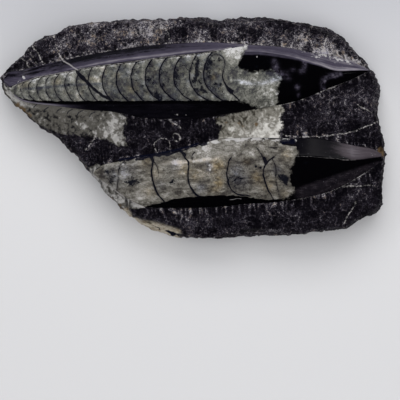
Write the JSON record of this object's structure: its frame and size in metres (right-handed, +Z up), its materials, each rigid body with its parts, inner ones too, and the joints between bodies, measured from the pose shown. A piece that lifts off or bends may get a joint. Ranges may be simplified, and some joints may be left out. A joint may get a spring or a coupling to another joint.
{
  "type": "polished orthoceras fossil",
  "caption": "Broken dark limestone slab with polished orthoceras shells, long chambered cones, standing proud of its chiselled face. Lies on its flat back.",
  "frame": {"origin": "middle of the slab's flat back, which lies on the floor", "axes": "+X along the shells from the large shell's point to its open end, +Y across the slab from the small shell to the large one, +Z up out of the polished face"},
  "size_m": [0.2238, 0.1287, 0.0302],
  "materials": {
    "rough_limestone": "rough chiselled dark limestone",
    "large_shell_polish": "polished grey calcite and black limestone",
    "small_shell_polish": "polished tan calcite and black limestone"
  },
  "bodies": {
    "root": {"matrix": "rough_limestone", "large_orthoceras": "large_shell_polish", "small_orthoceras": "small_shell_polish"}
  },
  "joints": []
}
